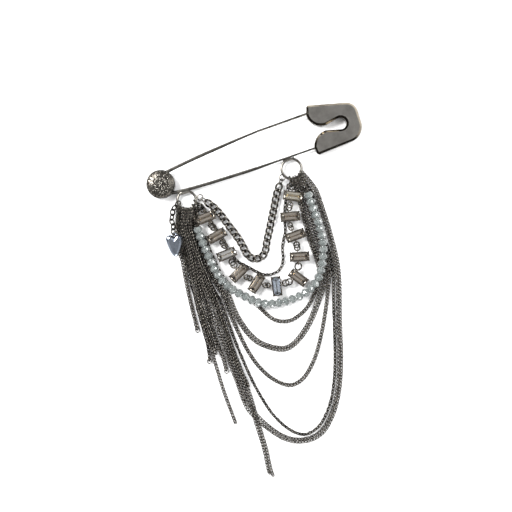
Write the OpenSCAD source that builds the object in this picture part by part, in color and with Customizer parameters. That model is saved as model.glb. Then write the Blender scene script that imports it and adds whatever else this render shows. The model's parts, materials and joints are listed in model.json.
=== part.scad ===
/* [Pin] */
// Distance from the hinge rivet to the middle of the round end of the guard
pin_span = 78.7; // [70:0.1:90]
// Diameter of the pin wire where it leaves the cap
wire_d = 1.44; // [1.2:0.02:1.6]
// Diameter of the straight sharp end of the needle
needle_tip_d = 1.0; // [0.8:0.05:1.2]
// Length of the conical point of the needle
point_len = 3.2; // [2:0.1:4]
// Distance from the hinge rivet to the point of the needle
needle_len = 71.6; // [68:0.1:72]
// Radius of the wire loop that each arm makes round the rivet
loop_r = 3.45; // [3.3:0.05:3.6]
// Running gap between the needle and what it moves in
run_gap = 0.2; // [0.1:0.05:0.3]
// Gap between pieces that are fitted together and do not move
fit_gap = 0.05; // [0.03:0.01:0.1]

/* [Guard] */
// Thickness of the cast guard
guard_t = 5.2; // [4.8:0.1:6]
// Width of the bevel round the front face of the guard
guard_bevel = 0.85; // [0.4:0.05:1]
// Width of the small chamfer round the back face of the guard
guard_back_bevel = 0.3; // [0.1:0.05:0.5]
// Depth of the socket that takes the end of the fixed bar
socket_depth = 3.5; // [2:0.1:5]

/* [Cap] */
// Radius of the round cap over the hinge
cap_r = 5.65; // [5.4:0.05:6]
// Thickness of the side wall of the cap
cap_wall = 0.65; // [0.5:0.05:0.8]
// Height of the cap up to the foot of its dome
cap_side_h = 5.0; // [4.9:0.1:5.6]
// Height of the dome above the side
cap_dome_h = 1.1; // [0.8:0.1:1.4]
// Number of beads in the border of the cap
cap_border_n = 22; // [16:1:24]
// Number of petals of the rosette
petal_n = 8; // [6:1:10]

/* [Rings] */
// Outer radius of the left ring, under the cap end of the bar
left_ring_r = 4.2; // [3.9:0.05:4.3]
// Outer radius of the right ring
right_ring_r = 4.5; // [4.2:0.05:4.6]
// Wire diameter of both rings
ring_wire = 1.05; // [0.9:0.05:1.1]
// Outer radius of the two small side loops that hold the curb chain
side_loop_r = 1.4; // [1.3:0.05:1.5]
// Wire diameter of the side loops
side_loop_wire = 0.55; // [0.45:0.05:0.6]

/* [Stones] */
// Length of a stone
stone_l = 6.9; // [6.3:0.1:7]
// Width of a stone
stone_w = 2.9; // [2.6:0.1:3]
// Height of the crown of a stone above its girdle
crown_h = 0.75; // [0.5:0.05:0.9]
// Depth of a stone below its girdle
pavilion_h = 1.0; // [0.8:0.05:1.1]
// Height of a setting without its claws
setting_h = 2.0; // [1.8:0.05:2.2]
// Thickness of the wall round a stone
setting_wall = 0.4; // [0.3:0.05:0.5]
// Radius of a claw
claw_r = 0.4; // [0.3:0.05:0.45]
// Height of the settings above the floor, where they lie on the square chain
setting_lift = 1.5; // [1.45:0.05:1.8]
// Wire diameter of the lugs and rings between the settings
link_wire = 0.45; // [0.38:0.01:0.46]
// Radius of a ring between two settings, at the middle of its wire
link_r = 1.3; // [1.24:0.02:1.34]

/* [Chains] */
// Width of the heavy curb chain
curb_w = 3.1; // [2.9:0.05:3.2]
// Wire diameter of the heavy curb chain
curb_wire = 0.6; // [0.54:0.01:0.62]
// Distance from link to link of the heavy curb chain
curb_pitch = 2.6; // [2.45:0.05:2.65]
// Diameter of a glass bead
bead_d = 3.7; // [3.4:0.1:3.8]
// Distance from bead to bead
bead_pitch = 2.8; // [2.7:0.05:3]
// Gap between two beads
bead_gap = 0.34; // [0.25:0.01:0.5]
// Diameter of the hole through a bead
bead_bore = 1.0; // [0.9:0.05:1.2]
// Diameter of the thread
thread_d = 0.5; // [0.4:0.05:0.6]
// Wire diameter of the small rings at the ends of the beads and of the heart
small_wire = 0.4; // [0.35:0.02:0.45]
// Width of the plain fine chains
fine_d = 1.4; // [1.25:0.05:1.4]
// Width of the square chains
square_d = 1.3; // [1.15:0.05:1.3]
// Width of the slimmer plain chain
slim_d = 1.25; // [1.1:0.05:1.3]
// Width of the thin chains that run in pairs
pair_d = 1.05; // [0.9:0.05:1.05]

/* [Heart] */
// Width of the heart across its lobes
heart_w = 6.8; // [6.4:0.1:8]
// Thickness of the puffed heart
heart_t = 3.2; // [2.6:0.1:3.4]

/* [Hidden] */

UP = [0, 0, 1];
// Height of the middle of the fixed bar, and of the needle, which is one wire higher
bar_z = 1.95;
needle_z = bar_z + wire_d + 0.06;
rivet = [-38.9, 56, 0];
// Middle of the round end of the guard along the pin
guard_x = rivet[0] + pin_span;

// Route of each fine chain, from the ring that it hangs on: name, width, points
STRANDS = [
  ["fringe_1", fine_d, [[-34.6,44.95,3.3],[-36.05,42,2.9],[-37.85,38.2,2.25],[-39.65,35,2.3],
    [-40.3,32.5,2.35],[-40.4,30,2.35],[-40.2,27.5,2.1],[-39.9,25,2.05],[-40.6,20,0.8],
    [-41.2,15,0.75],[-41.7,10,0.75],[-42.1,5,0.75],[-42.4,0,0.75],[-42.6,-3.4,0.75]]],
  ["fringe_2", square_d, [[-34.85,45.1,4.85],[-35.8,42.5,4.5],[-37.6,38,3.75],[-38,34,3.75],
    [-38.4,30,3.05],[-38.35,27,2.4],[-38.3,25,2.2],[-39,20,2.1],[-39.5,15,0.75],
    [-39.6,10,0.7],[-40,5,0.7],[-40.2,0,0.7],[-40.4,-5,0.7],[-40.6,-10,0.7],[-41.1,-14,0.7],
    [-41.7,-16.7,0.7]]],
  ["fringe_3", slim_d, [[-33.6,43.85,3.2],[-34.6,41.8,2.7],[-36.3,38,2.1],[-37.85,35,2.25],
    [-38.75,32.5,2],[-39.5,30,1.3],[-39.65,27.5,0.65],[-39.1,25,0.65],[-38.5,20,0.65],
    [-37.75,15,0.65],[-38,10,0.65],[-38.5,5,0.65],[-38.75,0,0.65],[-38.95,-5,0.65],
    [-39.15,-10,0.65],[-39.7,-15,0.65],[-39.9,-22,0.65],[-39.95,-30,0.65],[-39.6,-38,0.65],
    [-39.3,-43.4,0.65]]],
  ["fringe_4", fine_d, [[-33.3,43.9,4.85],[-34.5,41,4.4],[-36.1,38,3.8],[-36.4,34,3.95],
    [-36.5,32,3.7],[-36.6,30,3.05],[-36.8,27,2.4],[-36.8,25,2.2],[-37.5,20,2.3],
    [-38.3,15,2.3],[-38.8,10,2.3],
    [-39.2,5,2.2],[-39.4,0,2.2],[-39.5,-5,2.2],[-39.3,-10,2.2],[-38.4,-14.6,2]]],
  ["fringe_5", fine_d, [[-31.75,43.2,4.85],[-32.8,41,4.4],[-34.4,38,3.8],[-34.9,34,3.8],
    [-35.1,30,3],[-35.3,27,2.3],[-35.3,25,2.15],[-36,20,2.3],[-36.75,15,2.3],[-37.25,10,2.2],
    [-37.65,5,2.1],[-37.8,0,2.1],[-37.9,-5,2.1],[-37.7,-10,2.1],[-37,-13.5,2.2]]],
  ["fringe_6", fine_d, [[-32.35,43.2,3.3],[-33.1,41.6,2.8],[-34.75,38,2.25],[-36.15,35,2.35],
    [-37.15,32.5,2.3],[-38.1,30,1.6],[-38.2,27.5,0.8],[-37.65,25,0.75],[-37,20,0.75],
    [-36.3,15,0.75],[-35.9,10,0.75],[-35.9,5,0.75],[-36.2,0,0.75],[-36.55,-5,0.75],
    [-36.6,-10,0.75],[-36.3,-15,0.75],[-36.2,-19,0.75],[-36.4,-22.5,0.75]]],
  ["fringe_7", pair_d, [[-31.12,43,3.15],[-31.77,41.5,2.6],[-33.3,38,2.05],[-34.7,35,2.1],
    [-35.6,32.5,2.1],[-36.6,30,1.5],[-36.75,27.5,0.6],[-36.3,25,0.55],[-35.6,20,0.55],
    [-34.95,15,0.55],[-34.2,10,0.55],[-33.2,5,0.55],[-32.6,0,0.55],[-32.5,-6,0.55],
    [-32.4,-15,0.55],[-32,-22,0.55],[-31.6,-30,0.55],[-31.4,-37,0.55],[-31.65,-45,0.55],
    [-31.65,-52,0.55],[-31.8,-58,0.55],[-32.4,-64,0.55],[-32.5,-66.6,0.55]]],
  ["fringe_8", pair_d, [[-35.7,44.9,0.55],[-36.4,43,0.55],[-37.2,40.5,0.55],[-37.85,38,0.55],
    [-37.1,34,0.55],[-35.6,30,0.55],[-35.05,25,0.55],[-34.45,20,0.55],[-33.8,15,0.55],
    [-33,10,0.55],[-32.05,5,0.55],[-31.4,0,0.55],[-31.3,-6,0.55],[-31.2,-15,0.55],
    [-30.8,-22,0.55],[-30.4,-30,0.55],[-30.2,-37,0.55],[-30.45,-45,0.55],[-30.5,-52,0.55],
    [-30.6,-58,0.55],[-31.2,-64,0.55],[-31.3,-68,0.55]]],
  ["fringe_9", fine_d, [[-30.25,43,4.85],[-31.2,41,4.3],[-32.5,38,3.65],[-33.1,34,3.6],
    [-33.3,30,3.6],[-33.35,25,3.45],[-33.1,20,3.3],[-32.7,15,2.45],[-32.3,10,2.2],
    [-31.9,5,2.1],[-31.8,0,1.95],[-31.8,-8,1.9],[-31.8,-16,1.9],[-31.2,-23,1.9],
    [-30.4,-28,1.9],[-30,-30.8,1.9]]],
  ["swag_1", fine_d, [[-28.8,42.6,0.75],[-29.2,41.7,0.75],[-29.9,40.5,0.75],[-31,38,0.75],
    [-30.2,34,0.75],[-28.75,30,0.75],[-28.4,25,0.75],[-27.9,20,0.75],[-27,15,0.75],
    [-25.6,10.8,0.75],[-23.4,7,0.75],[-20.8,4,0.75],[-18.6,1.3,0.75],[-17,-1.2,0.75],
    [-15.5,-4,0.75],[-13,-8,0.75],[-10,-10.3,0.75],[-6,-11.2,0.75],[-2,-10.3,0.75],
    [2,-8.2,0.75],[5.2,-5.3,0.75],[7.8,-2.3,0.75],[9.8,1.1,0.75],[11,5,0.75],[11.2,10,0.75],
    [10.9,15,0.75],[11,20,0.75],[11.3,25,0.75],[11.6,30,0.75],[11.8,35,0.75],[12,38.5,0.75],
    [12.3,41.2,0.75]]],
  ["swag_2a", pair_d, [[-31.7,42.4,0.55],[-32.1,41.7,0.55],[-32.7,40.5,0.55],
    [-33.6,38,0.55],[-32.8,34,0.55],[-31.3,30,0.55],[-30.9,25,0.55],[-30.4,20,0.55],
    [-29.5,15,0.55],[-28.4,10,0.55],[-27.4,5,0.55],[-27,0,0.55],[-26.1,-5,0.55],
    [-24.3,-11,0.55],[-21.7,-15.6,0.55],[-18,-18.9,0.55],[-14,-21.2,0.55],[-10.8,-21.9,0.55],
    [-7.3,-21.1,0.55],[-3.3,-18.8,0.55],[0.8,-15.4,0.55],[4.9,-10.9,0.55],[8.6,-6,0.55],
    [11.4,-2,0.55],[12.9,1.5,0.55],[13.8,5,0.55],[14,10,0.55],[13.7,15,0.55],[13.7,20,0.55],
    [14,25,0.55],[14.3,30,0.55],[14.5,35,0.55],[14.1,38.5,0.55],[13.7,40.9,0.55]]],
  ["swag_2b", pair_d, [[-30.4,42.5,0.55],[-30.9,41.6,0.55],[-31.45,40.5,0.55],
    [-32.4,38,0.55],[-31.6,34,0.55],[-30.1,30,0.55],[-29.75,25,0.55],[-29.2,20,0.55],
    [-28.3,15,0.55],[-27.2,10,0.55],[-26.2,5,0.55],[-25.8,0,0.55],[-24.9,-5,0.55],
    [-23.2,-10.3,0.55],[-20.7,-14.8,0.55],[-17.3,-17.9,0.55],[-13.6,-20,0.55],
    [-10.8,-20.7,0.55],[-7.7,-20,0.55],[-3.9,-17.7,0.55],[0,-14.4,0.55],[4,-9.9,0.55],
    [7.6,-5.2,0.55],[10.3,-1.5,0.55],[11.7,1.7,0.55],[12.5,5,0.55],[12.7,10,0.55],
    [12.4,15,0.55],[12.4,20,0.55],[12.7,25,0.55],[13,30,0.55],[13.2,35,0.55],[13.2,37,1.2],
    [12.7,39,2.3],[12.3,40.8,3],[11.9,42.7,3.2]]],
  ["swag_3", fine_d, [[-33.1,42.6,0.75],[-33.5,41.8,0.75],[-34.15,40.5,0.75],
    [-35,38,0.75],[-34.2,34,0.75],[-32.7,30,0.75],[-32.25,25,0.75],[-31.75,20,0.75],
    [-30.85,15,0.75],[-29.75,10,0.75],[-28.75,5,0.75],[-28.4,0,0.75],[-27.85,-5,0.75],
    [-27.1,-11,0.75],[-26.1,-17,0.75],[-24.4,-23,0.75],[-21.8,-28.5,0.75],[-19,-32.2,0.75],
    [-15.7,-35,0.75],[-12.5,-36,0.75],[-8.5,-35,0.75],[-4.5,-32,0.75],[-0.4,-27.3,0.75],
    [3.6,-21,0.75],[7,-14.7,0.75],[10,-8.5,0.75],[12.4,-3,0.75],[14.2,1.3,0.75],
    [15.1,5,0.75],[15.4,10,0.75],[15.15,15,0.75],[15.2,20,0.75],[15.4,25,0.75],
    [15.7,30,0.75],[15.8,34,0.8],[15.6,37,1.9],[15.35,40,3],[15,43.2,3.3]]],
  ["swag_4", square_d, [[-34.6,43.6,0.7],[-35.1,42.3,0.7],[-35.75,40.5,0.7],
    [-36.5,38,0.7],[-35.75,34,0.7],[-34.25,30,0.7],[-33.75,25,0.7],[-33.2,20,0.7],
    [-32.4,15,0.7],[-31.5,10,0.7],[-30.4,5,0.7],[-30.05,0,0.7],[-29.85,-6,0.7],
    [-29.4,-15,0.7],[-28.4,-25,0.7],[-27.4,-32,0.7],[-26,-38.5,0.7],[-24.2,-44.5,0.7],
    [-21.4,-50,0.7],[-18.2,-54,0.7],[-14.5,-56.2,0.7],[-11.3,-56.2,0.7],[-7.5,-54.7,0.7],
    [-3.8,-51.3,0.7],[-0.2,-46.5,0.7],[2.8,-40.6,0.7],[5.4,-34,0.7],[7.6,-27,0.7],
    [9.6,-20,0.7],[11.5,-13,0.7],[13.6,-6,0.7],[15.5,0,0.7],[16.6,5,0.7],[16.95,10,0.7],
    [16.7,15,0.7],[16.7,20,0.7],[17,25,0.7],[17.2,30,0.7],[17.3,35,0.7],[16.4,38.8,0.7],
    [15.3,42.1,0.7]]],
  ["swag_5a", pair_d, [[-30.2,42.5,2.75],[-30.6,41.5,2.6],[-32,38,2.05],[-33.4,34,2.1],
    [-33.7,30,2.1],[-34,25,2],[-34.7,20,1.95],[-35.3,15,1.95],[-35,10,1.85],[-34.7,5,1.8],
    [-34.85,0,1.5],[-34.95,-6,0.6],[-34.75,-13,0.55],[-34.35,-22,0.55],[-33.95,-30,0.55],
    [-33.75,-36,0.8],[-32.9,-40.5,1.75],[-31.3,-43.7,1.8],[-29.6,-46.9,1.5],[-27.9,-49.7,0.6],
    [-25.4,-53,0.55],[-22.4,-56,0.55],[-18.6,-58.2,0.55],[-14,-59.3,0.55],[-9.5,-59,0.55],
    [-5.5,-57,0.55],[-1.8,-53.4,0.55],[1.8,-48.5,0.55],[5.2,-42,0.55],[7.9,-35,0.55],
    [10.1,-28,0.55],[12,-21,0.55],[14,-14,0.55],[16.2,-7,0.55],[18.1,0,0.55],[19.2,6,0.55],
    [19.65,12,0.55],[19.9,18,0.55],[20,24,0.55],[19.9,30,0.55],[19.7,35,0.55],[18.3,39.5,0.55],
    [16.6,43.3,0.55]]],
  ["swag_5b", pair_d, [[-27.6,41.95,0.6],[-27.92,41.5,1.05],[-28.5,40.9,1.75],[-29.6,40,2.15],
    [-30.5,38.7,2.15],
    [-31.05,37,2.1],[-32.15,34,2.1],
    [-32.5,30,2.05],[-32.8,25,2],[-33.5,20,2],[-34.1,15,1.95],[-33.8,10,1.85],[-33.5,5,1.8],
    [-33.7,0,1.4],[-33.8,-6,0.6],[-33.6,-13,0.55],[-33.2,-22,0.55],[-32.8,-30,0.55],
    [-32.6,-35,0.8],[-32.2,-38,1.55],[-31.4,-40.3,1.8],[-30.1,-43,1.8],[-28.5,-46.1,1.5],
    [-26.8,-48.9,0.6],[-24.5,-52.1,0.55],[-21.7,-54.9,0.55],[-18.2,-57,0.55],[-14,-58.1,0.55],
    [-10,-57.8,0.55],[-6.3,-56,0.55],[-2.7,-52.6,0.55],[0.8,-47.9,0.55],[4.1,-41.6,0.55],
    [6.7,-34.7,0.55],[8.9,-27.8,0.55],[10.8,-20.8,0.55],[12.75,-13.8,0.55],[15,-6.8,0.55],
    [16.9,0,0.55],[18,6,0.55],[18.45,12,0.55],[18.7,18,0.55],[18.75,24,0.55],
    [18.7,30,0.55],[18.65,33,0.9],[18.2,35.5,2],[17.3,38.5,2.6],[16.6,41,3.05],
    [16.1,44.3,3.15]]],
  ["box_chain", square_d, [[-25.95,43.6,0.7],[-25.5,41,0.7],[-24.3,36,0.7],[-22.9,31,0.7],
    [-21.5,26,0.7],[-20.4,21,0.7],[-18.9,17.5,0.7],[-16.5,15,0.7],[-14,12.4,0.7],
    [-11.5,10,0.7],[-9.5,9,0.7],[-7,8.7,0.7],[-4.5,9.2,0.7],[-2.5,11,0.7],[-1.2,14,0.7],
    [-0.5,17,0.7],[0.8,20,0.7],[2.6,23.2,0.7],[3.6,27,0.7],[5.2,32,0.7],[7.6,37,0.7],
    [9.4,40.8,0.7]]]
];

// Middle line of the heavy curb chain between its end links
CURB_ROUTE = [[-22.1,41.9,1.2],[-21,39.8,1.15],[-19.9,37.4,1.15],[-19,34.8,1.15],
  [-18.1,32,1.15],[-17.1,29.5,1.15],[-16.3,27,1.15],[-15.6,24.5,1.15],[-15.1,22,1.15],
  [-14.8,19.8,1.15],[-13.9,17.8,1.15],[-12.1,16.5,1.15],[-9.6,16.4,1.15],[-7.7,17.6,1.15],
  [-6.5,19.6,1.15],[-5.7,21.4,1.15],[-4.6,23.3,1.15],[-3.3,25.5,1.15],[-1.7,28.5,1.15],
  [-0.1,31.3,1.15],[1.4,34,1.15],[2.9,36.8,1.15],[4.4,39.3,1.2]];

// Thread of the glass beads, from the first bead to the last
BEAD_ROUTE = [[-30.1,35.6,4.2],[-30.2,33.5,3.5],[-30.1,30,3.4],[-29.6,25,3.4],[-29,20,3.4],
  [-28.2,15.5,3.4],[-26.8,11.5,3.4],[-24.4,7.6,3.4],[-21.9,4.9,3.4],[-19.6,2.6,3.4],
  [-17.2,0.4,3.3],[-14.3,-1.5,2.6],[-12,-2.3,2.1],[-9.8,-2.9,1.9],[-6,-3.4,1.86],
  [-2,-3.3,1.86],[2,-2.8,1.9],[5,-1.6,2.2],[8,0.2,3.1],[10.3,2.6,3.4],[12.2,5.6,3.4],
  [13.8,9,3.4],[15.2,12.8,3.4],[15.9,16.5,3.4],[16.2,20,3.4],[16.2,24,3.4],[16,28,3.4],
  [15.8,32,3.5],[15.6,35.6,4.2]];
// Routes of the small rings from the left and the right ring to the ends of the beads
BEAD_HOOKS = [
  [[-28.9,43.95,2.25],[-28.9,43.5,3.6],[-28.9,42.1,5],[-29.3,39.7,5.3],[-29.8,37.6,5],[-30.1,35.6,4.2]],
  [[13.6,42.4,2.25],[13.6,41.9,3.6],[13.8,40.6,4.9],[14.4,38.9,5.2],[15.1,37.3,5],[15.6,35.6,4.2]]];
// Where the first and the last setting hang on the rings
setting_hooks = [[-27.85,45.2,bar_z], [10.8,42.7,bar_z]];
// Route of the links of the heart, from the left ring to its top
HEART_ROUTE = [[-34.8,46.6,2],[-36.8,45.4,2.7],[-38.3,43,3.5],[-39.05,40.6,4.5],
  [-39.2,38.4,5.4],[-39.62,36.35,6]];

// Each setting: place of its middle, direction from its outer to its inner end, and how far
// its two lugs sit towards the inner end
SETTINGS = [[-26,38,5,0.6,0.6],[-23.8,29.8,12,0.6,0.6],[-22.3,21.6,5,0.6,0.6],
  [-20,13,27,0.6,0.6],[-14.5,7,40,0.6,0.75],[-7.2,3.5,80,0.6,0.6],[2,4.2,126,1.1,1.8],
  [5,12,166,0.6,0.6],[6,20.5,183,0.6,0.6],[6.3,28.3,168,0.6,0.6],[9.8,35.7,155,0.6,0.6]];

// Left and right ring of the fixed bar
ring_centres = [[-31.1,46.9,bar_z], [12.5,46.3,bar_z]];
side_loops = [[-25.6,46.4,bar_z], [7.9,44.1,bar_z]];

function unit(v) = v / norm(v);
// Point at share t between b and c on a smooth curve through a, b, c and d
function blend4(a, b, c, d, t) =
    0.5 * (2 * b + (c - a) * t + (2 * a - 5 * b + 4 * c - d) * t * t
    + (3 * b - a - 3 * c + d) * t * t * t);
// Smooth curve through p, with about one point for each step of length
function smooth(p, step) = let (n = len(p)) [
    for (i = [0 : n - 2])
        let (a = i > 0 ? p[i - 1] : 2 * p[0] - p[1],
            d = i < n - 2 ? p[i + 2] : 2 * p[n - 1] - p[n - 2],
            k = max(1, round(norm(p[i + 1] - p[i]) / step)))
        for (j = [0 : k - 1]) blend4(a, p[i], p[i + 1], d, j / k),
    p[n - 1]];
// Length run along p up to each of its points
function runs(p) = [for (i = 0, s = 0; i < len(p);
    s = s + (i + 1 < len(p) ? norm(p[i + 1] - p[i]) : 0), i = i + 1) s];
function axis_table(p, r, k) = [for (i = [0 : len(p) - 1]) [r[i], p[i][k]]];
// n + 1 points at equal lengths along p
function even(p, n) = let (r = runs(p), all = r[len(r) - 1],
    tx = axis_table(p, r, 0), ty = axis_table(p, r, 1), tz = axis_table(p, r, 2))
    [for (i = [0 : n]) let (s = all * i / n) [lookup(s, tx), lookup(s, ty), lookup(s, tz)]];
function run_length(p) = let (r = runs(p)) r[len(r) - 1];
function spot(p, s) = let (r = runs(p))
    [lookup(s, axis_table(p, r, 0)), lookup(s, axis_table(p, r, 1)), lookup(s, axis_table(p, r, 2))];

// Direction at point i of an open or a closed line
function heading(p, i, closed) = let (n = len(p),
    a = closed ? (i + n - 1) % n : max(0, i - 1), b = closed ? (i + 1) % n : min(n - 1, i + 1))
    unit(p[b] - p[a]);
// Skin round a line: radius r or a list of radii, with the given number of sides
function skin_points(p, r, sides, closed, up) = [
    for (i = [0 : len(p) - 1])
        let (t = heading(p, i, closed), u = unit(cross(t, up)), v = cross(u, t),
            q = is_list(r) ? r[i] : r)
        for (j = [0 : sides - 1])
            let (a = 360 * (j + 0.5) / sides) p[i] + q * (cos(a) * u + sin(a) * v)];
function skin_faces(n, sides, closed) = concat(
    [for (i = [0 : n - (closed ? 1 : 2)], j = [0 : sides - 1])
        let (k = (i + 1) % n, m = (j + 1) % sides)
        [i * sides + j, i * sides + m, k * sides + m, k * sides + j]],
    closed ? [] : [[for (j = [sides - 1 : -1 : 0]) j],
        [for (j = [0 : sides - 1]) (n - 1) * sides + j]]);
module tube(p, r, sides = 8, closed = false, up = UP)
    polyhedron(skin_points(p, r, sides, closed, up), skin_faces(len(p), sides, closed), 6);

// Hook-shaped body through stacked outlines, lowest first. The first inner points of an outline
// run along the opening and the others back along the outside; the end faces join the two.
module hook_loft(sections, inner) {
    n = len(sections[0]);
    top = (len(sections) - 1) * n;
    outer = n - inner;
    across = [for (i = [0 : outer - 2])
        let (a = round(i * (inner - 1) / (outer - 1)), b = round((i + 1) * (inner - 1) / (outer - 1)))
        a == b ? [a, n - 2 - i, n - 1 - i] : [a, b, n - 2 - i, n - 1 - i]];
    polyhedron([for (s = sections) each s], concat(across,
        [for (i = [0 : len(sections) - 2], j = [0 : n - 1]) let (k = (j + 1) % n)
            [i * n + j, (i + 1) * n + j, (i + 1) * n + k, i * n + k]],
        [for (f = across) [for (j = [len(f) - 1 : -1 : 0]) top + f[j]]]), 6);
}

module torus(r, wire) rotate_extrude($fn = 48) translate([r, 0]) circle(d = wire, $fn = 24);

// Turns the Z axis to direction d
module aim(d) rotate([0, acos(d[2] / norm(d)), atan2(d[1], d[0])]) children();
// Turns the X axis to direction d and keeps the Y axis level
module aim_x(d) rotate([0, -asin(d[2] / norm(d)), atan2(d[1], d[0])]) children();
// Oval ring, or a link that is twisted by c
function ring_line(a, b, c, n) = [for (i = [0 : n - 1]) let (t = 360 * i / n)
    [a * cos(t), b * sin(t), c * sin(2 * t)]];
link_lean = 55;
// Rings of radius r one through the next along line p up to length last, leaning to either side
module link_run(p, first, last, pitch, r) {
    n = round((last - first) / pitch);
    for (i = [0 : n]) let (s = first + i * (last - first) / n)
        translate(spot(p, s)) aim_x(spot(p, s + 0.5) - spot(p, s - 0.5))
            rotate([i % 2 == 0 ? -link_lean : link_lean, 0, 0]) torus(r, small_wire);
}

// Guard outline, from the upper end of the opening round it to its lower end and back along the
// outside: each arc has its centre (along the pin from the middle of the guard), radius, first and
// last angle, and 1 where it bulges
GUARD_ARCS = [[-9.5,64.6,5.85,-182,-72,1], [-3.4,57.5,2.35,110,-105,-1], [-9.8,50.1,6.55,90,166,1],
  [-14.9,49.4,1.1,-178,-92,1], [-1.8,55.6,6.3,-82,0,1], [0,60.4,4.5,8,75,1], [-13.7,67.3,0.9,75,165,1]];
opening_arcs = 3;
arc_steps = 9;
function guard_outline(inset, z) = [for (a = GUARD_ARCS, i = [0 : arc_steps])
    let (t = a[3] + (a[4] - a[3]) * i / arc_steps, r = a[2] - a[5] * inset)
    [guard_x + a[0] + r * cos(t), a[1] + r * sin(t), z]];

needle_dir = unit([27.5, 1, 0]);
needle_straight = [4, 64.5, needle_z];
needle_point = needle_straight + needle_dir * (needle_len + rivet[0] - needle_straight[0]);

module guard() color([0.45, 0.44, 0.42]) difference() {
    hook_loft([guard_outline(guard_back_bevel, 0), guard_outline(0, guard_back_bevel),
        guard_outline(0, guard_t - guard_bevel), guard_outline(guard_bevel, guard_t)],
        opening_arcs * (arc_steps + 1));
    // Slot in the upper lobe: the needle lies in it and is pressed out of it towards the bar
    slot_h = needle_tip_d + 2 * run_gap;
    slot_x = bar_end[0] - socket_depth;
    translate([slot_x, slot_low, needle_z - slot_h / 2]) cube([needle_point[0] + point_room - slot_x,
        needle_point[1] + slot_h / 2 - slot_low, slot_h]);
    translate(bar_end - [point_room, 0, 0]) rotate([0, 90, 0])
        cylinder(d = bar_end_d + 2 * fit_gap, h = socket_depth + point_room + 0.2, $fn = 32);
}
// Lower side of the slot of the needle, and the room at its point
slot_low = 57;
point_room = 1;

bar_end = [guard_x - 15.8, 51.4, bar_z];
bar_end_d = 0.9;
// Loop round the rivet, at height z, from angle a0 to angle a1
function loop_line(z, a0, a1) = [for (i = [0 : 16]) let (t = a0 + (a1 - a0) * i / 16)
    [rivet[0] + loop_r * cos(t), rivet[1] + loop_r * sin(t), z]];
BAR_ROUTE = [[-37.6,52.1,bar_z],[-35.8,51.45,bar_z],[-33,51.1,bar_z],[-28,50.88,bar_z],
  [-20,50.68,bar_z],[-10,50.65,bar_z],[0,50.7,bar_z],[8,50.95,bar_z],bar_end];
// Middle of the bar at place x along it
function bar_y(x) = lookup(x, [for (q = smooth(BAR_ROUTE, 5)) [q[0], q[1]]]);
// Diameter at x of a wire that is thinned from d0 at place x0 to d1 at place x1
function thinned(x, x0, x1, d0, d1) = d0 + (d1 - d0) * max(0, min(1, (x - x0) / (x1 - x0)));
// The drawn wires end this much inside the round ends that are set on them
end_inset = 0.06;
bar_thin = [-4, 10];
needle_thin = [-14, 3];

// Ring soldered under the bar, with a fillet of solder between them
module bar_ring(c, r) {
    translate(c) torus(r - ring_wire / 2, ring_wire);
    translate([c[0], bar_y(c[0]) - wire_d / 2 - solder_drop, c[2]]) rotate([0, 90, 0])
        cylinder(d = ring_wire * 1.05, h = solder_len, center = true, $fn = 24);
}
solder_drop = 0.25;
solder_len = 4.6;
solder_ball_d = 0.95;
module side_loop(c, towards, big_r) {
    translate(c) torus(side_loop_r - side_loop_wire / 2, side_loop_wire);
    d = unit(towards - c);
    translate(c + d * (norm(towards - c) - big_r + ring_wire / 3)) sphere(d = solder_ball_d, $fn = 24);
}
module fixed_bar() color([0.5, 0.49, 0.47]) {
    p = concat(loop_line(bar_z, 0, 262), smooth(BAR_ROUTE, 5), [bar_end + [0.6, 0, 0]]);
    tube(p, [for (q = p)
        thinned(q[0], bar_thin[0], bar_thin[1], wire_d, bar_end_d - end_inset) / 2], 8);
    translate(bar_end - [0.4, 0, 0]) rotate([0, 90, 0])
        cylinder(d = bar_end_d, h = socket_depth, $fn = 32);
    bar_ring(ring_centres[0], left_ring_r);
    bar_ring(ring_centres[1], right_ring_r);
    side_loop(side_loops[0], ring_centres[0], left_ring_r);
    side_loop(side_loops[1], ring_centres[1], right_ring_r);
}

NEEDLE_ROUTE = [[-37.6,59.62,needle_z],[-35,59.98,needle_z],[-30,60.75,needle_z],
  [-22,61.85,needle_z],[-12,62.95,needle_z],[-4,63.8,needle_z],needle_straight];
module needle() color([0.52, 0.51, 0.49]) {
    p = concat(loop_line(needle_z, 360, 98), smooth(NEEDLE_ROUTE, 5), [needle_straight + needle_dir]);
    tube(p, [for (q = p)
        thinned(q[0], needle_thin[0], needle_thin[1], wire_d, needle_tip_d - end_inset) / 2], 8);
    straight_len = norm(needle_point - needle_straight) - point_len;
    translate(needle_straight) aim(needle_dir) {
        cylinder(d = needle_tip_d, h = straight_len, $fn = 32);
        translate([0, 0, straight_len]) cylinder(d1 = needle_tip_d, d2 = 0.12, h = point_len, $fn = 32);
    }
}

cap_edge = 0.3;
// Shares of the radius at which the section of the dome is drawn
DOME_STEPS = [0.87, 0.58, 0.28, 0];
border_r = 0.84 * cap_r;
border_bead_r = 0.5;
rosette_r = 0.41 * cap_r;
petal_r = 1.05;
// Lowest and highest place of the openings in the side for the needle and for the bar
NEEDLE_WINDOW = [2.1, 5.4];
BAR_WINDOW = [-6, -3.8];
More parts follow.
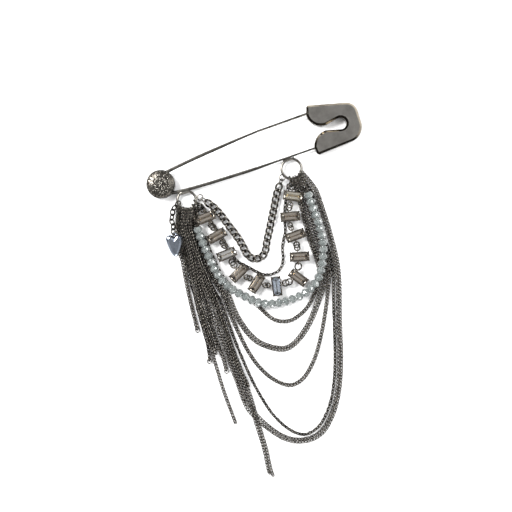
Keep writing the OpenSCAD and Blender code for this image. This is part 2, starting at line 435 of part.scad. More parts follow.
// Height of the dome of the cap at radius r
function dome_z(r) = cap_side_h + cap_dome_h * (1 - pow(r / cap_r, 2));
module cap() color([0.42, 0.41, 0.38]) translate([rivet[0], rivet[1], 0]) difference() {
    post_r = loop_r - wire_d / 2 - run_gap;
    inside_h = needle_z + wire_d / 2 + run_gap;
    union() {
        difference() {
            rotate_extrude($fn = 64) polygon(concat([[0, 0], [cap_r - cap_edge, 0], [cap_r, cap_edge],
                [cap_r, cap_side_h - cap_edge], [cap_r - cap_edge, cap_side_h]],
                [for (s = DOME_STEPS) [s * cap_r, dome_z(s * cap_r)]]));
            translate([0, 0, -1]) cylinder(r = cap_r - cap_wall, h = inside_h + 1, $fn = 64);
        }
        // Rivet post with its flattened head, which keeps both loops on
        translate([0, 0, cap_edge]) cylinder(r = post_r, h = inside_h, $fn = 48);
        translate([0, 0, cap_edge])
            cylinder(r = post_r + 0.6, h = bar_z - wire_d / 2 - run_gap - cap_edge, $fn = 48);
        for (i = [0 : cap_border_n - 1]) rotate(360 * (i + 0.5) / cap_border_n)
            translate([border_r, 0, dome_z(border_r) - 0.2 * border_bead_r])
                sphere(r = border_bead_r, $fn = 20);
        for (i = [0 : petal_n - 1]) rotate(360 * i / petal_n)
            translate([rosette_r, 0, dome_z(rosette_r) - petal_r / 2]) sphere(r = petal_r, $fn = 24);
        translate([0, 0, dome_z(0) - petal_r / 2 + 0.08]) sphere(r = petal_r, $fn = 24);
    }
    window_h = wire_d + 2 * run_gap;
    for (w = [[needle_z, NEEDLE_WINDOW], [bar_z, BAR_WINDOW]])
        translate([0, w[1][0], w[0] - window_h / 2]) cube([cap_r + 1, w[1][1] - w[1][0], window_h]);
}

setting_l = stone_l + 2 * (setting_wall + fit_gap);
setting_w = stone_w + 2 * (setting_wall + fit_gap);
setting_cut = 0.9;
foot_in = 0.3;
foot_h = 0.4;
claw_h = 0.75;
claw_out = 0.11;
lug_r = 0.7;
lug_wire = link_wire - 0.1;
lug_y = setting_w / 2 + lug_r - 0.15;
lug_z = 1.2;
// Outline with cut corners
function cut_box(l, w, c) = let (x = l / 2, y = w / 2) [[-x + c, -y], [x - c, -y],
    [x, -y + c], [x, y - c], [x - c, y], [-x + c, y], [-x, y - c], [-x, -y + c]];
// Closed outline from its right half, lowest point first
function both_sides(q) = concat(q, [for (i = [len(q) - 1 : -1 : 0]) [-q[i][0], q[i][1]]]);
girdle_h = 0.12;
stone_cut = 0.6;
// Widths of the steps of the crown, share of its height at the first one, and the keel below
step_in = 0.35;
table_in = 0.75;
step_share = 0.6;
keel_in = 1.5;
keel_half = 0.25;
// Right half of the section of a stone, or of its seat, which is open above the girdle
function stone_half(half, keel, grow, seat) = both_sides(concat(
    [[keel + grow, -pavilion_h - grow], [half - stone_cut + grow, -pavilion_h / 2 - grow],
        [half + grow, -grow]],
    seat ? [[half + grow, 2 * crown_h]] : [[half, girdle_h],
        [half - step_in, girdle_h + crown_h * step_share], [half - table_in, girdle_h + crown_h]]));
module stone_body(grow, seat) intersection() {
    rotate([90, 0, 0]) linear_extrude(2 * stone_w, center = true)
        polygon(stone_half(stone_l / 2, stone_l / 2 - keel_in, grow, seat));
    rotate([90, 0, 90]) linear_extrude(2 * stone_l, center = true)
        polygon(stone_half(stone_w / 2, keel_half, grow, seat));
    translate([0, 0, -2 * pavilion_h]) linear_extrude(4 * pavilion_h)
        polygon(cut_box(stone_l + 2 * grow, stone_w + 2 * grow, stone_cut));
}
module place(i) translate([SETTINGS[i][0], SETTINGS[i][1], setting_lift])
    rotate(SETTINGS[i][2]) children();
seat_z = setting_h - 0.3;
module setting(i) color([0.44, 0.42, 0.38]) place(i) {
    difference() {
        intersection() {
            linear_extrude(setting_h) polygon(cut_box(setting_l, setting_w, setting_cut));
            rotate([90, 0, 90]) linear_extrude(2 * setting_l, center = true) polygon(both_sides(
                [[setting_w / 2 - foot_in, 0], [setting_w / 2, foot_h], [setting_w / 2, setting_h]]));
        }
        translate([0, 0, seat_z]) stone_body(fit_gap, true);
    }
    // Claws at the cut corners of the stone
    for (sx = [-1, 1], sy = [-1, 1])
        translate([sx * (stone_l / 2 + claw_out), sy * (stone_w / 2 + claw_out), setting_h - claw_h / 2])
            cylinder(r = claw_r, h = claw_h, $fn = 16);
    for (sy = [-1, 1]) translate([SETTINGS[i][sy > 0 ? 3 : 4], sy * lug_y, lug_z]) rotate([0, 90, 0])
        torus(lug_r, lug_wire);
}
module stone(i) color([0.72, 0.69, 0.64]) place(i) translate([0, 0, seat_z]) stone_body(0, false);

// Hole of the lug on one side of a setting
function lug_hole(i, side) = let (s = SETTINGS[i], a = s[2], x = s[side > 0 ? 3 : 4], y = side * lug_y)
    [s[0] + x * cos(a) - y * sin(a), s[1] + x * sin(a) + y * cos(a), setting_lift + lug_z];
// Rings from point p towards q: each row has the places of its near and its far wire, and its tilt
module rings_along(p, q, rows)
    for (s = rows) translate(p + unit(q - p) * (s[0] + s[1]) / 2) aim_x(q - p) rotate([s[2], 0, 0])
        torus((s[1] - s[0]) / 2, link_wire);
// How far a lug reaches past the middle of its hole
lug_edge = lug_r + lug_wire / 2;
// Two rings between the holes of two lugs, or one where the lugs are near each other
function pair_rows(len) = let (d = min(2 * link_r, len - lug_edge - link_wire / 2 - 0.1))
    len < single_len ? [[0, len, pair_lean]] : [[0, d, pair_lean], [len - d, len, -pair_lean]];
single_len = 2.9;
pair_lean = 22;
// Three rings from the hole of a lug to a ring of the bar, round whose wire the last one goes
function hook_rows(len) = let (first = 2.15, last = 2 * link_r + 0.4, wire = link_wire / 2)
    [[0, first, pair_lean],
    [(lug_edge + first - wire) / 2, len - (last - wire + ring_wire + hook_gap + wire) / 2, -52],
    [len - last, len, 80]];
hook_gap = 0.35;
module setting_rings() color([0.42, 0.4, 0.37]) {
    last = len(SETTINGS) - 1;
    for (i = [0 : last - 1]) let (p = lug_hole(i, -1), q = lug_hole(i + 1, 1))
        rings_along(p, q, pair_rows(norm(q - p)));
    for (e = [[lug_hole(0, 1), setting_hooks[0]], [lug_hole(last, -1), setting_hooks[1]]])
        rings_along(e[0], e[1], hook_rows(norm(e[1] - e[0]) + (ring_wire + link_wire) / 2 + hook_gap));
}

// Twisted link of a flat curb chain, along X
curb_a = (curb_pitch + curb_wire + 0.17) / 2;
curb_b = (curb_w - curb_wire) / 2;
curb_lift = curb_wire / 2 + 0.3;
// Upright ring between a side loop and the first link
curb_end_r = 1.25;
curb_end_wire = 0.42;
curb_end_lean = 65;
module curb_chain() color([0.4, 0.38, 0.36]) {
    last = len(CURB_ROUTE) - 1;
    // Way from the wire of a side loop to the wire of the first link
    step = 2 * curb_end_r - curb_end_wire - (side_loop_wire + curb_wire) / 2 - 0.25;
    loop_mid = side_loop_r - side_loop_wire / 2;
    ends = [for (e = [[side_loops[0], CURB_ROUTE[0]], [side_loops[1], CURB_ROUTE[last]]])
        let (d = unit(e[1] - e[0])) [e[0] + d * loop_mid, d]];
    far = step + curb_a;
    p = smooth(concat([ends[0][0] + ends[0][1] * far], CURB_ROUTE, [ends[1][0] + ends[1][1] * far]), 0.6);
    n = round(run_length(p) / curb_pitch);
    c = even(p, n);
    for (i = [0 : n]) translate(c[i]) aim_x(heading(c, i, false))
        tube(ring_line(curb_a, curb_b, curb_lift, 12), curb_wire / 2, 5, true);
    for (e = ends) translate(e[0] + e[1] * step / 2) aim_x(e[1]) rotate([curb_end_lean, 0, 0])
        tube(ring_line(curb_end_r, curb_end_r, 0, 16), curb_end_wire / 2, 6, true);
}

module beads() color([0.62, 0.67, 0.68]) {
    p = smooth(BEAD_ROUTE, 0.6);
    n = round(run_length(p) / bead_pitch);
    c = even(p, 2 * n);
    h = run_length(p) / n / 2 - bead_gap / 2;
    for (i = [0 : n - 1])
        translate(c[2 * i + 1]) aim(c[2 * i + 2] - c[2 * i]) rotate_extrude($fn = 24)
            polygon([[bead_bore / 2, -h], [bead_d * 0.3, -h], [bead_d / 2, -h * 0.3],
                [bead_d / 2, h * 0.3], [bead_d * 0.3, h], [bead_bore / 2, h]]);
}
crimp_len = 1.3;
crimp_d = 1.3;
crimp_floor = 0.3;
crimp_room = 0.4;
module bead_thread() color([0.7, 0.7, 0.68]) {
    p = smooth(BEAD_ROUTE, 0.6);
    n = round(run_length(p) / bead_pitch);
    c = even(p, 2 * n);
    ends = [for (h = BEAD_HOOKS) let (k = len(h) - 1)
        h[k] + unit(h[k - 1] - h[k]) * (crimp_len - crimp_floor - fit_gap)];
    tube(concat([ends[0]], [for (i = [0 : n - 1]) c[2 * i + 1]], [ends[1]]), thread_d / 2, 6);
}
// Small rings at the ends of the beads, and the two crimps that hold the thread
end_ring_r = 1.25;
module bead_end_rings() color([0.42, 0.4, 0.37])
    for (h = BEAD_HOOKS) {
        k = len(h) - 1;
        d = unit(h[k] - h[k - 1]);
        p = smooth(h, 0.4);
        link_run(p, 0.1, run_length(p) - crimp_len - end_ring_r - small_wire / 2 - 0.4, 1.75, end_ring_r);
        translate(h[k] - d * (crimp_len + fit_gap)) aim(d) difference() {
            cylinder(d = crimp_d, h = crimp_len, $fn = 24);
            translate([0, 0, crimp_floor]) cylinder(d = thread_d + crimp_room, h = crimp_len, $fn = 24);
        }
    }

// Strand of the given name, as one solid
module strand(name) color([0.4, 0.39, 0.36])
    for (s = STRANDS) if (s[0] == name) tube(smooth(s[2], 3 * s[1]), s[1] / 2, 8);

heart_at = [-40.2, 33.6, 6.1];
heart_turn = -12;
// Shape of each half below its lobe, as shares of the width out and down, with a share of the
// half thickness as the radius there
HEART_BELLY = [[0.22, 0.28, 1], [0.13, 0.58, 0.92], [0, 0.88, 0.76]];
module heart() color([0.5, 0.52, 0.55]) translate(heart_at) rotate(heart_turn) {
    puff = heart_t / 2;
    lobe = heart_w * 0.26;
    for (s = [-1, 1]) hull() {
        translate([s * (heart_w / 2 - lobe), 0, 0]) rotate_extrude($fn = 20) intersection() {
            translate([lobe - puff * 0.8, 0]) scale([0.8, 1]) circle(r = puff, $fn = 16);
            translate([0, -puff]) square([heart_w, heart_t]);
        }
        translate([0, -heart_w * 0.25, 0]) sphere(r = puff * 0.95, $fn = 12);
        for (b = HEART_BELLY) translate([s * heart_w * b[0], -heart_w * b[1], 0])
            sphere(r = puff * b[2], $fn = 12);
    }
    // Eye in the notch, for the last link
    translate([0, lobe * 0.85, 0]) tube(ring_line(eye_r, eye_r, 0, 12), eye_wire / 2, 5, true);
}
eye_r = 0.8;
eye_wire = 0.44;
heart_link_r = 1.3;
heart_link_pitch = 2.0;
module heart_links() color([0.42, 0.41, 0.4]) {
    p = smooth(HEART_ROUTE, 0.5);
    link_run(p, 0.1, run_length(p), heart_link_pitch, heart_link_r);
}

fixed_bar();
guard();
cap();
needle();
setting(0);  // setting_1
setting(1);  // setting_2
setting(2);  // setting_3
setting(3);  // setting_4
setting(4);  // setting_5
setting(5);  // setting_6
setting(6);  // setting_7
setting(7);  // setting_8
setting(8);  // setting_9
setting(9);  // setting_10
setting(10);  // setting_11
stone(0);  // stone_1
stone(1);  // stone_2
stone(2);  // stone_3
stone(3);  // stone_4
stone(4);  // stone_5
stone(5);  // stone_6
stone(6);  // stone_7
stone(7);  // stone_8
stone(8);  // stone_9
stone(9);  // stone_10
stone(10);  // stone_11
setting_rings();
curb_chain();
beads();
bead_thread();
bead_end_rings();
strand("box_chain");  // box_chain
strand("swag_1");  // swag_1
strand("swag_2a");  // swag_2a
strand("swag_2b");  // swag_2b
strand("swag_3");  // swag_3
strand("swag_4");  // swag_4
strand("swag_5a");  // swag_5a
strand("swag_5b");  // swag_5b
strand("fringe_1");  // fringe_1
strand("fringe_2");  // fringe_2
strand("fringe_3");  // fringe_3
strand("fringe_4");  // fringe_4
strand("fringe_5");  // fringe_5
strand("fringe_6");  // fringe_6
strand("fringe_7");  // fringe_7
strand("fringe_8");  // fringe_8
strand("fringe_9");  // fringe_9
heart();
heart_links();
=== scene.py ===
import json
import math

import bpy
import numpy as np
from mathutils import Matrix, Vector
from mathutils.bvhtree import BVHTree


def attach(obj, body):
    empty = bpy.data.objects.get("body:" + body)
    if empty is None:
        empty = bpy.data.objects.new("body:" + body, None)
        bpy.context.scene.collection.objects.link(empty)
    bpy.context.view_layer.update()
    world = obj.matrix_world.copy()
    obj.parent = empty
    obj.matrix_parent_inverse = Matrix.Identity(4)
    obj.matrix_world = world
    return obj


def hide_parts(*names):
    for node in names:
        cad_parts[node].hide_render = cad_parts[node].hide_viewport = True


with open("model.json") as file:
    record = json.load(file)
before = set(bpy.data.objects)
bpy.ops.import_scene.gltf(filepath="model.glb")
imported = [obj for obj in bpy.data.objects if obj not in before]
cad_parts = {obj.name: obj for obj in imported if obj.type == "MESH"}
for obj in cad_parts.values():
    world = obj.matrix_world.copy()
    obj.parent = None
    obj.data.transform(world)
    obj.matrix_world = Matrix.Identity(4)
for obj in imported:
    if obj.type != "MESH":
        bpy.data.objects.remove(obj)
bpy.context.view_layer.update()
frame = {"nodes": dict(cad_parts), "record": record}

MM = 0.001
rng = np.random.default_rng(7)
nodes = frame["nodes"]

# Routes of the chains in millimetres, as in the source; every use multiplies them by MM
FINE, SLIM, SQUARE, PAIR = 1.4, 1.25, 1.3, 1.05
STRANDS = [
  ["fringe_1", FINE, [[-34.6,44.95,3.3],[-36.05,42,2.9],[-37.85,38.2,2.25],[-39.65,35,2.3],
    [-40.3,32.5,2.35],[-40.4,30,2.35],[-40.2,27.5,2.1],[-39.9,25,2.05],[-40.6,20,0.8],
    [-41.2,15,0.75],[-41.7,10,0.75],[-42.1,5,0.75],[-42.4,0,0.75],[-42.6,-3.4,0.75]]],
  ["fringe_2", SQUARE, [[-34.85,45.1,4.85],[-35.8,42.5,4.5],[-37.6,38,3.75],[-38,34,3.75],
    [-38.4,30,3.05],[-38.35,27,2.4],[-38.3,25,2.2],[-39,20,2.1],[-39.5,15,0.75],
    [-39.6,10,0.7],[-40,5,0.7],[-40.2,0,0.7],[-40.4,-5,0.7],[-40.6,-10,0.7],[-41.1,-14,0.7],
    [-41.7,-16.7,0.7]]],
  ["fringe_3", SLIM, [[-33.6,43.85,3.2],[-34.6,41.8,2.7],[-36.3,38,2.1],[-37.85,35,2.25],
    [-38.75,32.5,2],[-39.5,30,1.3],[-39.65,27.5,0.65],[-39.1,25,0.65],[-38.5,20,0.65],
    [-37.75,15,0.65],[-38,10,0.65],[-38.5,5,0.65],[-38.75,0,0.65],[-38.95,-5,0.65],
    [-39.15,-10,0.65],[-39.7,-15,0.65],[-39.9,-22,0.65],[-39.95,-30,0.65],[-39.6,-38,0.65],
    [-39.3,-43.4,0.65]]],
  ["fringe_4", FINE, [[-33.3,43.9,4.85],[-34.5,41,4.4],[-36.1,38,3.8],[-36.4,34,3.95],
    [-36.5,32,3.7],[-36.6,30,3.05],[-36.8,27,2.4],[-36.8,25,2.2],[-37.5,20,2.3],
    [-38.3,15,2.3],[-38.8,10,2.3],
    [-39.2,5,2.2],[-39.4,0,2.2],[-39.5,-5,2.2],[-39.3,-10,2.2],[-38.4,-14.6,2]]],
  ["fringe_5", FINE, [[-31.75,43.2,4.85],[-32.8,41,4.4],[-34.4,38,3.8],[-34.9,34,3.8],
    [-35.1,30,3],[-35.3,27,2.3],[-35.3,25,2.15],[-36,20,2.3],[-36.75,15,2.3],[-37.25,10,2.2],
    [-37.65,5,2.1],[-37.8,0,2.1],[-37.9,-5,2.1],[-37.7,-10,2.1],[-37,-13.5,2.2]]],
  ["fringe_6", FINE, [[-32.35,43.2,3.3],[-33.1,41.6,2.8],[-34.75,38,2.25],[-36.15,35,2.35],
    [-37.15,32.5,2.3],[-38.1,30,1.6],[-38.2,27.5,0.8],[-37.65,25,0.75],[-37,20,0.75],
    [-36.3,15,0.75],[-35.9,10,0.75],[-35.9,5,0.75],[-36.2,0,0.75],[-36.55,-5,0.75],
    [-36.6,-10,0.75],[-36.3,-15,0.75],[-36.2,-19,0.75],[-36.4,-22.5,0.75]]],
  ["fringe_7", PAIR, [[-31.12,43,3.15],[-31.77,41.5,2.6],[-33.3,38,2.05],[-34.7,35,2.1],
    [-35.6,32.5,2.1],[-36.6,30,1.5],[-36.75,27.5,0.6],[-36.3,25,0.55],[-35.6,20,0.55],
    [-34.95,15,0.55],[-34.2,10,0.55],[-33.2,5,0.55],[-32.6,0,0.55],[-32.5,-6,0.55],
    [-32.4,-15,0.55],[-32,-22,0.55],[-31.6,-30,0.55],[-31.4,-37,0.55],[-31.65,-45,0.55],
    [-31.65,-52,0.55],[-31.8,-58,0.55],[-32.4,-64,0.55],[-32.5,-66.6,0.55]]],
  ["fringe_8", PAIR, [[-35.7,44.9,0.55],[-36.4,43,0.55],[-37.2,40.5,0.55],[-37.85,38,0.55],
    [-37.1,34,0.55],[-35.6,30,0.55],[-35.05,25,0.55],[-34.45,20,0.55],[-33.8,15,0.55],
    [-33,10,0.55],[-32.05,5,0.55],[-31.4,0,0.55],[-31.3,-6,0.55],[-31.2,-15,0.55],
    [-30.8,-22,0.55],[-30.4,-30,0.55],[-30.2,-37,0.55],[-30.45,-45,0.55],[-30.5,-52,0.55],
    [-30.6,-58,0.55],[-31.2,-64,0.55],[-31.3,-68,0.55]]],
  ["fringe_9", FINE, [[-30.25,43,4.85],[-31.2,41,4.3],[-32.5,38,3.65],[-33.1,34,3.6],
    [-33.3,30,3.6],[-33.35,25,3.45],[-33.1,20,3.3],[-32.7,15,2.45],[-32.3,10,2.2],
    [-31.9,5,2.1],[-31.8,0,1.95],[-31.8,-8,1.9],[-31.8,-16,1.9],[-31.2,-23,1.9],
    [-30.4,-28,1.9],[-30,-30.8,1.9]]],
  ["swag_1", FINE, [[-28.8,42.6,0.75],[-29.2,41.7,0.75],[-29.9,40.5,0.75],[-31,38,0.75],
    [-30.2,34,0.75],[-28.75,30,0.75],[-28.4,25,0.75],[-27.9,20,0.75],[-27,15,0.75],
    [-25.6,10.8,0.75],[-23.4,7,0.75],[-20.8,4,0.75],[-18.6,1.3,0.75],[-17,-1.2,0.75],
    [-15.5,-4,0.75],[-13,-8,0.75],[-10,-10.3,0.75],[-6,-11.2,0.75],[-2,-10.3,0.75],
    [2,-8.2,0.75],[5.2,-5.3,0.75],[7.8,-2.3,0.75],[9.8,1.1,0.75],[11,5,0.75],[11.2,10,0.75],
    [10.9,15,0.75],[11,20,0.75],[11.3,25,0.75],[11.6,30,0.75],[11.8,35,0.75],[12,38.5,0.75],
    [12.3,41.2,0.75]]],
  ["swag_2a", PAIR, [[-31.7,42.4,0.55],[-32.1,41.7,0.55],[-32.7,40.5,0.55],
    [-33.6,38,0.55],[-32.8,34,0.55],[-31.3,30,0.55],[-30.9,25,0.55],[-30.4,20,0.55],
    [-29.5,15,0.55],[-28.4,10,0.55],[-27.4,5,0.55],[-27,0,0.55],[-26.1,-5,0.55],
    [-24.3,-11,0.55],[-21.7,-15.6,0.55],[-18,-18.9,0.55],[-14,-21.2,0.55],[-10.8,-21.9,0.55],
    [-7.3,-21.1,0.55],[-3.3,-18.8,0.55],[0.8,-15.4,0.55],[4.9,-10.9,0.55],[8.6,-6,0.55],
    [11.4,-2,0.55],[12.9,1.5,0.55],[13.8,5,0.55],[14,10,0.55],[13.7,15,0.55],[13.7,20,0.55],
    [14,25,0.55],[14.3,30,0.55],[14.5,35,0.55],[14.1,38.5,0.55],[13.7,40.9,0.55]]],
  ["swag_2b", PAIR, [[-30.4,42.5,0.55],[-30.9,41.6,0.55],[-31.45,40.5,0.55],
    [-32.4,38,0.55],[-31.6,34,0.55],[-30.1,30,0.55],[-29.75,25,0.55],[-29.2,20,0.55],
    [-28.3,15,0.55],[-27.2,10,0.55],[-26.2,5,0.55],[-25.8,0,0.55],[-24.9,-5,0.55],
    [-23.2,-10.3,0.55],[-20.7,-14.8,0.55],[-17.3,-17.9,0.55],[-13.6,-20,0.55],
    [-10.8,-20.7,0.55],[-7.7,-20,0.55],[-3.9,-17.7,0.55],[0,-14.4,0.55],[4,-9.9,0.55],
    [7.6,-5.2,0.55],[10.3,-1.5,0.55],[11.7,1.7,0.55],[12.5,5,0.55],[12.7,10,0.55],
    [12.4,15,0.55],[12.4,20,0.55],[12.7,25,0.55],[13,30,0.55],[13.2,35,0.55],[13.2,37,1.2],
    [12.7,39,2.3],[12.3,40.8,3],[11.9,42.7,3.2]]],
  ["swag_3", FINE, [[-33.1,42.6,0.75],[-33.5,41.8,0.75],[-34.15,40.5,0.75],
    [-35,38,0.75],[-34.2,34,0.75],[-32.7,30,0.75],[-32.25,25,0.75],[-31.75,20,0.75],
    [-30.85,15,0.75],[-29.75,10,0.75],[-28.75,5,0.75],[-28.4,0,0.75],[-27.85,-5,0.75],
    [-27.1,-11,0.75],[-26.1,-17,0.75],[-24.4,-23,0.75],[-21.8,-28.5,0.75],[-19,-32.2,0.75],
    [-15.7,-35,0.75],[-12.5,-36,0.75],[-8.5,-35,0.75],[-4.5,-32,0.75],[-0.4,-27.3,0.75],
    [3.6,-21,0.75],[7,-14.7,0.75],[10,-8.5,0.75],[12.4,-3,0.75],[14.2,1.3,0.75],
    [15.1,5,0.75],[15.4,10,0.75],[15.15,15,0.75],[15.2,20,0.75],[15.4,25,0.75],
    [15.7,30,0.75],[15.8,34,0.8],[15.6,37,1.9],[15.35,40,3],[15,43.2,3.3]]],
  ["swag_4", SQUARE, [[-34.6,43.6,0.7],[-35.1,42.3,0.7],[-35.75,40.5,0.7],
    [-36.5,38,0.7],[-35.75,34,0.7],[-34.25,30,0.7],[-33.75,25,0.7],[-33.2,20,0.7],
    [-32.4,15,0.7],[-31.5,10,0.7],[-30.4,5,0.7],[-30.05,0,0.7],[-29.85,-6,0.7],
    [-29.4,-15,0.7],[-28.4,-25,0.7],[-27.4,-32,0.7],[-26,-38.5,0.7],[-24.2,-44.5,0.7],
    [-21.4,-50,0.7],[-18.2,-54,0.7],[-14.5,-56.2,0.7],[-11.3,-56.2,0.7],[-7.5,-54.7,0.7],
    [-3.8,-51.3,0.7],[-0.2,-46.5,0.7],[2.8,-40.6,0.7],[5.4,-34,0.7],[7.6,-27,0.7],
    [9.6,-20,0.7],[11.5,-13,0.7],[13.6,-6,0.7],[15.5,0,0.7],[16.6,5,0.7],[16.95,10,0.7],
    [16.7,15,0.7],[16.7,20,0.7],[17,25,0.7],[17.2,30,0.7],[17.3,35,0.7],[16.4,38.8,0.7],
    [15.3,42.1,0.7]]],
  ["swag_5a", PAIR, [[-30.2,42.5,2.75],[-30.6,41.5,2.6],[-32,38,2.05],[-33.4,34,2.1],
    [-33.7,30,2.1],[-34,25,2],[-34.7,20,1.95],[-35.3,15,1.95],[-35,10,1.85],[-34.7,5,1.8],
    [-34.85,0,1.5],[-34.95,-6,0.6],[-34.75,-13,0.55],[-34.35,-22,0.55],[-33.95,-30,0.55],
    [-33.75,-36,0.8],[-32.9,-40.5,1.75],[-31.3,-43.7,1.8],[-29.6,-46.9,1.5],[-27.9,-49.7,0.6],
    [-25.4,-53,0.55],[-22.4,-56,0.55],[-18.6,-58.2,0.55],[-14,-59.3,0.55],[-9.5,-59,0.55],
    [-5.5,-57,0.55],[-1.8,-53.4,0.55],[1.8,-48.5,0.55],[5.2,-42,0.55],[7.9,-35,0.55],
    [10.1,-28,0.55],[12,-21,0.55],[14,-14,0.55],[16.2,-7,0.55],[18.1,0,0.55],[19.2,6,0.55],
    [19.65,12,0.55],[19.9,18,0.55],[20,24,0.55],[19.9,30,0.55],[19.7,35,0.55],[18.3,39.5,0.55],
    [16.6,43.3,0.55]]],
  ["swag_5b", PAIR, [[-27.6,41.95,0.6],[-27.92,41.5,1.05],[-28.5,40.9,1.75],[-29.6,40,2.15],
    [-30.5,38.7,2.15],
    [-31.05,37,2.1],[-32.15,34,2.1],
    [-32.5,30,2.05],[-32.8,25,2],[-33.5,20,2],[-34.1,15,1.95],[-33.8,10,1.85],[-33.5,5,1.8],
    [-33.7,0,1.4],[-33.8,-6,0.6],[-33.6,-13,0.55],[-33.2,-22,0.55],[-32.8,-30,0.55],
    [-32.6,-35,0.8],[-32.2,-38,1.55],[-31.4,-40.3,1.8],[-30.1,-43,1.8],[-28.5,-46.1,1.5],
    [-26.8,-48.9,0.6],[-24.5,-52.1,0.55],[-21.7,-54.9,0.55],[-18.2,-57,0.55],[-14,-58.1,0.55],
    [-10,-57.8,0.55],[-6.3,-56,0.55],[-2.7,-52.6,0.55],[0.8,-47.9,0.55],[4.1,-41.6,0.55],
    [6.7,-34.7,0.55],[8.9,-27.8,0.55],[10.8,-20.8,0.55],[12.75,-13.8,0.55],[15,-6.8,0.55],
    [16.9,0,0.55],[18,6,0.55],[18.45,12,0.55],[18.7,18,0.55],[18.75,24,0.55],
    [18.7,30,0.55],[18.65,33,0.9],[18.2,35.5,2],[17.3,38.5,2.6],[16.6,41,3.05],
    [16.1,44.3,3.15]]],
  ["box_chain", SQUARE, [[-25.95,43.6,0.7],[-25.5,41,0.7],[-24.3,36,0.7],[-22.9,31,0.7],
    [-21.5,26,0.7],[-20.4,21,0.7],[-18.9,17.5,0.7],[-16.5,15,0.7],[-14,12.4,0.7],
    [-11.5,10,0.7],[-9.5,9,0.7],[-7,8.7,0.7],[-4.5,9.2,0.7],[-2.5,11,0.7],[-1.2,14,0.7],
    [-0.5,17,0.7],[0.8,20,0.7],[2.6,23.2,0.7],[3.6,27,0.7],[5.2,32,0.7],[7.6,37,0.7],
    [9.4,40.8,0.7]]]
]
CURB_ROUTE = [[-22.1,41.9,1.2],[-21,39.8,1.15],[-19.9,37.4,1.15],[-19,34.8,1.15],
  [-18.1,32,1.15],[-17.1,29.5,1.15],[-16.3,27,1.15],[-15.6,24.5,1.15],[-15.1,22,1.15],
  [-14.8,19.8,1.15],[-13.9,17.8,1.15],[-12.1,16.5,1.15],[-9.6,16.4,1.15],[-7.7,17.6,1.15],
  [-6.5,19.6,1.15],[-5.7,21.4,1.15],[-4.6,23.3,1.15],[-3.3,25.5,1.15],[-1.7,28.5,1.15],
  [-0.1,31.3,1.15],[1.4,34,1.15],[2.9,36.8,1.15],[4.4,39.3,1.2]]
BEAD_ROUTE = [[-30.1,35.6,4.2],[-30.2,33.5,3.5],[-30.1,30,3.4],[-29.6,25,3.4],[-29,20,3.4],
  [-28.2,15.5,3.4],[-26.8,11.5,3.4],[-24.4,7.6,3.4],[-21.9,4.9,3.4],[-19.6,2.6,3.4],
  [-17.2,0.4,3.3],[-14.3,-1.5,2.6],[-12,-2.3,2.1],[-9.8,-2.9,1.9],[-6,-3.4,1.86],
  [-2,-3.3,1.86],[2,-2.8,1.9],[5,-1.6,2.2],[8,0.2,3.1],[10.3,2.6,3.4],[12.2,5.6,3.4],
  [13.8,9,3.4],[15.2,12.8,3.4],[15.9,16.5,3.4],[16.2,20,3.4],[16.2,24,3.4],[16,28,3.4],
  [15.8,32,3.5],[15.6,35.6,4.2]]
UP = np.array([0.0, 0.0, 1.0])


# ---- materials
def material(name, dark, light, metallic, rough, noise=900, bump=0.25, bump_scale=2500, glass=0.0,
             ior=1.5, coat=0.0):
    """Surface with a mottled colour and roughness and a fine bump. Scales are per metre."""
    m = bpy.data.materials.new(name)
    m.use_nodes = True
    nt = m.node_tree
    b = nt.nodes["Principled BSDF"]
    b.inputs["Metallic"].default_value = metallic
    b.inputs["IOR"].default_value = ior
    b.inputs["Transmission Weight"].default_value = glass
    b.inputs["Coat Weight"].default_value = coat
    b.inputs["Coat Roughness"].default_value = 0.08
    co = nt.nodes.new("ShaderNodeTexCoord")
    n1 = nt.nodes.new("ShaderNodeTexNoise")
    n1.inputs["Scale"].default_value = noise
    n1.inputs["Detail"].default_value = 6
    n1.inputs["Roughness"].default_value = 0.65
    nt.links.new(co.outputs["Object"], n1.inputs["Vector"])
    ramp = nt.nodes.new("ShaderNodeValToRGB")
    ramp.color_ramp.elements[0].position = 0.32
    ramp.color_ramp.elements[0].color = (*dark, 1)
    ramp.color_ramp.elements[1].position = 0.68
    ramp.color_ramp.elements[1].color = (*light, 1)
    nt.links.new(n1.outputs["Fac"], ramp.inputs["Fac"])
    nt.links.new(ramp.outputs["Color"], b.inputs["Base Color"])
    rr = nt.nodes.new("ShaderNodeMapRange")
    rr.inputs["To Min"].default_value = rough[0]
    rr.inputs["To Max"].default_value = rough[1]
    n2 = nt.nodes.new("ShaderNodeTexNoise")
    n2.inputs["Scale"].default_value = noise * 0.35
    n2.inputs["Detail"].default_value = 4
    nt.links.new(co.outputs["Object"], n2.inputs["Vector"])
    nt.links.new(n2.outputs["Fac"], rr.inputs["Value"])
    nt.links.new(rr.outputs["Result"], b.inputs["Roughness"])
    n3 = nt.nodes.new("ShaderNodeTexNoise")
    n3.inputs["Scale"].default_value = bump_scale
    n3.inputs["Detail"].default_value = 3
    nt.links.new(co.outputs["Object"], n3.inputs["Vector"])
    bp = nt.nodes.new("ShaderNodeBump")
    bp.inputs["Strength"].default_value = bump
    bp.inputs["Distance"].default_value = 0.00004
    nt.links.new(n3.outputs["Fac"], bp.inputs["Height"])
    nt.links.new(bp.outputs["Normal"], b.inputs["Normal"])
    return m


